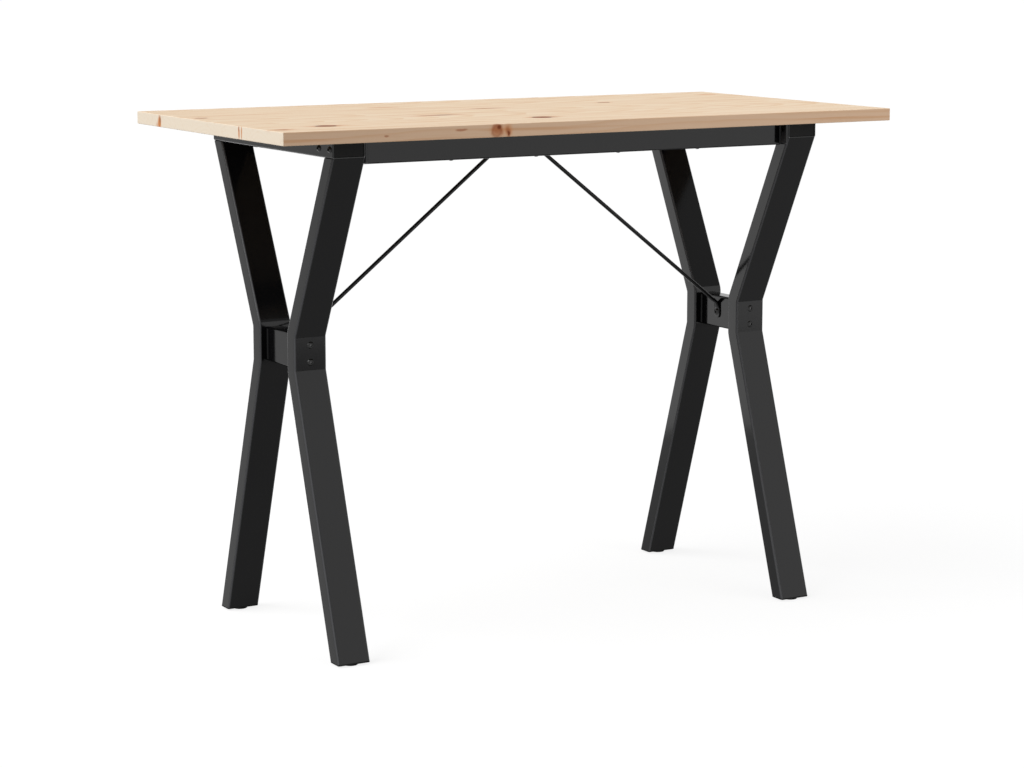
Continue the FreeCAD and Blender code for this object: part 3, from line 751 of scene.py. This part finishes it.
domed_screw, given = new_shape_tree("domed_screw", {
    "Head Diameter": "Float", "Head Height": "Float", "Socket Width": "Float", "Socket Depth": "Float",
    "Shank Diameter": "Float", "Shank Length": "Float", "Thread Pitch": "Float", "Thread Depth": "Float",
    "Seed": "Int", "Finish": "Material"})
tree = domed_screw
# Dome: a ball cut level at the seat, with the radius that gives the head its width and height
head_radius = add(tree, "ShaderNodeMath", {0: given["Head Diameter"], 1: 0.5}, operation="MULTIPLY")
square = add(tree, "ShaderNodeMath", {0: head_radius, 1: 2.0}, operation="POWER")
square = add(tree, "ShaderNodeMath", {0: given["Head Height"], 1: given["Head Height"], 2: square},
             operation="MULTIPLY_ADD")
ball_radius = add(tree, "ShaderNodeMath", {0: square, 1: given["Head Height"]}, operation="DIVIDE")
ball_radius = add(tree, "ShaderNodeMath", {0: ball_radius, 1: 0.5}, operation="MULTIPLY")
ball_rise = add(tree, "ShaderNodeMath", {0: given["Head Height"], 1: ball_radius}, operation="SUBTRACT")
ball_place = add(tree, "ShaderNodeCombineXYZ", {"Z": ball_rise})
ball = add(tree, "GeometryNodeMeshUVSphere", {"Segments": 40, "Rings": 24, "Radius": ball_radius})
ball = add(tree, "GeometryNodeTransform", {"Geometry": ball, "Translation": ball_place})
room_above = add(tree, "ShaderNodeMath", {0: given["Head Height"], 1: 2.0}, operation="MULTIPLY")
crown_place = add(tree, "ShaderNodeCombineXYZ", {"Z": given["Head Height"]})
above = add(tree, "GeometryNodeMeshCylinder", {"Vertices": 8, "Radius": given["Head Diameter"],
                                               "Depth": room_above})
above = add(tree, "GeometryNodeTransform", {"Geometry": above, "Translation": crown_place})
dome = add(tree, "GeometryNodeMeshBoolean", {"Mesh 2": [ball, above]}, operation="INTERSECT")
# Socket: a six-sided hole from the crown down
socket_radius = add(tree, "ShaderNodeMath", {0: given["Socket Width"], 1: 1 / math.sqrt(3)},
                    operation="MULTIPLY")
socket_room = add(tree, "ShaderNodeMath", {0: given["Socket Depth"], 1: 2.0}, operation="MULTIPLY")
punch = add(tree, "GeometryNodeMeshCylinder", {"Vertices": 6, "Radius": socket_radius,
                                               "Depth": socket_room})
punch = add(tree, "GeometryNodeTransform", {"Geometry": punch, "Translation": crown_place})
head = add(tree, "GeometryNodeMeshBoolean", {"Mesh 1": dome, "Mesh 2": [punch]}, operation="DIFFERENCE")
# Shank: rings half a pitch apart, every other one drawn in to the root of the thread
half_pitch = add(tree, "ShaderNodeMath", {0: given["Thread Pitch"], 1: 0.5}, operation="MULTIPLY")
ring_count = add(tree, "ShaderNodeMath", {0: given["Shank Length"], 1: half_pitch}, operation="DIVIDE")
ring_count = add(tree, "ShaderNodeMath", {0: ring_count}, operation="ROUND")
ring_step = add(tree, "ShaderNodeMath", {0: given["Shank Length"], 1: ring_count}, operation="DIVIDE")
shank_radius = add(tree, "ShaderNodeMath", {0: given["Shank Diameter"], 1: 0.5}, operation="MULTIPLY")
shank = add(tree, "GeometryNodeMeshCylinder", {"Vertices": 20, "Side Segments": ring_count,
                                               "Radius": shank_radius, "Depth": given["Shank Length"]})
spot = add(tree, "GeometryNodeInputPosition")
spot_axes = add(tree, "ShaderNodeSeparateXYZ", {0: spot}).outputs
middle_drop = add(tree, "ShaderNodeMath", {0: given["Shank Length"], 1: -0.5}, operation="MULTIPLY")
ring = add(tree, "ShaderNodeMath", {0: spot_axes["Z"], 1: middle_drop}, operation="SUBTRACT")
ring = add(tree, "ShaderNodeMath", {0: ring, 1: ring_step}, operation="DIVIDE")
crest = add(tree, "ShaderNodeMath", {0: ring, 1: 1.0}, operation="PINGPONG")
root = add(tree, "ShaderNodeMath", {0: 1.0, 1: crest}, operation="SUBTRACT")
draw_in = add(tree, "ShaderNodeMath", {0: given["Thread Depth"], 1: shank_radius}, operation="DIVIDE")
draw_in = add(tree, "ShaderNodeMath", {0: draw_in, 1: root}, operation="MULTIPLY")
draw_in = add(tree, "ShaderNodeMath", {0: draw_in, 1: -1.0}, operation="MULTIPLY")
inwards = add(tree, "ShaderNodeVectorMath", {0: spot, 1: (1, 1, 0)}, operation="MULTIPLY")
inwards = add(tree, "ShaderNodeVectorMath", {0: inwards, "Scale": draw_in}, operation="SCALE")
shank = add(tree, "GeometryNodeSetPosition", {"Geometry": shank, "Offset": inwards})
shank_place = add(tree, "ShaderNodeCombineXYZ", {"Z": middle_drop})
shank = add(tree, "GeometryNodeTransform", {"Geometry": shank, "Translation": shank_place})
screw = add(tree, "GeometryNodeJoinGeometry", {0: [head, shank]})
set_out(tree, given, screw)

# Black oxide steel: a dark grey metal with a thin oil film, a little uneven over about 2.5 mm.
black_oxide, tree = new_material("black_oxide_steel")
place = add(tree, "ShaderNodeTexCoord").outputs
cloud = add(tree, "ShaderNodeTexNoise", {"Vector": place["Object"], "Scale": 400.0, "Detail": 3.0})
shine = add(tree, "ShaderNodeMapRange", {"Value": cloud.outputs["Fac"], "To Min": 0.14, "To Max": 0.26})
tint = add(tree, "ShaderNodeMix", {0: cloud.outputs["Fac"], 6: linear("2C2C2C"), 7: linear("3A3A3A")},
           data_type="RGBA")
oxide = add(tree, "ShaderNodeBsdfPrincipled", {"Base Color": tint, "Metallic": 1.0, "Roughness": shine})
add(tree, "ShaderNodeOutputMaterial", {"Surface": oxide})

bolt_head_diameter = 0.0105
bolt_head_height = 0.0033
bolt_end = 0.0075
bolt_sizes = {"Head Diameter": bolt_head_diameter, "Head Height": bolt_head_height,
              "Socket Width": 0.004, "Socket Depth": 0.002, "Shank Diameter": 0.006,
              "Thread Pitch": 0.001, "Thread Depth": 0.0004, "Finish": black_oxide}
plate_thickness = 0.003

for side, hand in (("left", -1), ("right", 1)):
    outward = Vector((hand, 0, 0))
    low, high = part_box(f"{side}_waist_bolts")
    middle = (low + high) / 2
    places = []
    for ahead in (-1, 1):
        for height in (low.z + bolt_head_diameter / 2, high.z - bolt_head_diameter / 2):
            seat = Vector((middle.x, ahead * (high.y - bolt_head_height), height))
            places.append((seat, Vector((0, ahead, 0))))
    bolts = made_by_tree(f"{side}_waist_screws", domed_screw, places, {
        **bolt_sizes, "Shank Length": tube_thickness + plate_thickness + bolt_end, "Seed": 1})
    fit(bolts, black_oxide, "black_bolt_steel", "frame", f"{side}_waist_bolts")

    low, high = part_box(f"{side}_rail_bolts")
    rail_low, rail_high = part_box("back_long_rail")
    outer_place = high.y - bolt_head_diameter / 2
    inner_place = rail_low.y + rail_high.y - outer_place
    end_face = max(abs(low.x), abs(high.x)) - bolt_head_height
    seat = Vector((hand * end_face, 0, (low.z + high.z) / 2))
    places = [(seat + Vector((0, y, 0)), outward)
              for y in (-outer_place, -inner_place, inner_place, outer_place)]
    bolts = made_by_tree(f"{side}_rail_screws", domed_screw, places, {
        **bolt_sizes, "Shank Length": end_face - rail_high.x, "Seed": 2})
    fit(bolts, black_oxide, "black_bolt_steel", "frame", f"{side}_rail_bolts")

    low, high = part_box(f"{side}_tie_rod")
    connector_low, connector_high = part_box(f"{side}_waist_connector")
    face = max(abs(low.x), abs(high.x))
    tip = min(abs(low.x), abs(high.x))
    waist_middle = (connector_low.z + connector_high.z) / 2
    rod_bolt_margin = waist_middle - low.z
    lower_seat = Vector((hand * (face - tab_thickness), 0, waist_middle))
    upper_seat = Vector((hand * (tip + rod_bolt_margin), 0, high.z - tab_thickness))
    bolts = made_by_tree(f"{side}_rod_screws", domed_screw,
                         [(lower_seat, -outward), (upper_seat, Vector((0, 0, -1)))],
                         {**bolt_sizes, "Shank Length": tab_thickness + tube_wall + bolt_end, "Seed": 3})
    fit(bolts, black_oxide, "black_bolt_steel", "frame", f"{side}_rod_bolts")

# Nuts: blackened hexagon nuts, tack welded inside the connectors and the crossbar.
# The tubes close round them, so they keep the plain six-sided shape of their solids.
for side in ("left", "right"):
    for node in (f"{side}_waist_nuts", f"{side}_rod_nuts"):
        coat(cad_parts[node], black_oxide)

# Top screws: blackened wood screws driven up through the long rails into the pine.
# Only their low domed heads with a six-sided recess show, under the rails.
screw_head_diameter = 0.008
screw_count = 4
screw_sizes = {"Head Diameter": screw_head_diameter, "Socket Width": 0.003, "Socket Depth": 0.001,
               "Shank Diameter": 0.004, "Thread Pitch": 0.0018, "Thread Depth": 0.0006, "Seed": 5,
               "Finish": black_oxide}

for row in ("front", "back"):
    low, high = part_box(f"{row}_top_screws")
    rail_low, rail_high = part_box(f"{row}_long_rail")
    first = low.x + screw_head_diameter / 2
    step = (high.x - low.x - screw_head_diameter) / (screw_count - 1)
    places = [(Vector((first + index * step, (low.y + high.y) / 2, rail_low.z)), Vector((0, 0, -1)))
              for index in range(screw_count)]
    screws = made_by_tree(f"{row}_wood_screws", domed_screw, places, {
        **screw_sizes, "Head Height": rail_low.z - low.z, "Shank Length": high.z - rail_low.z})
    fit(screws, black_oxide, "black_bolt_steel", "frame", f"{row}_top_screws")
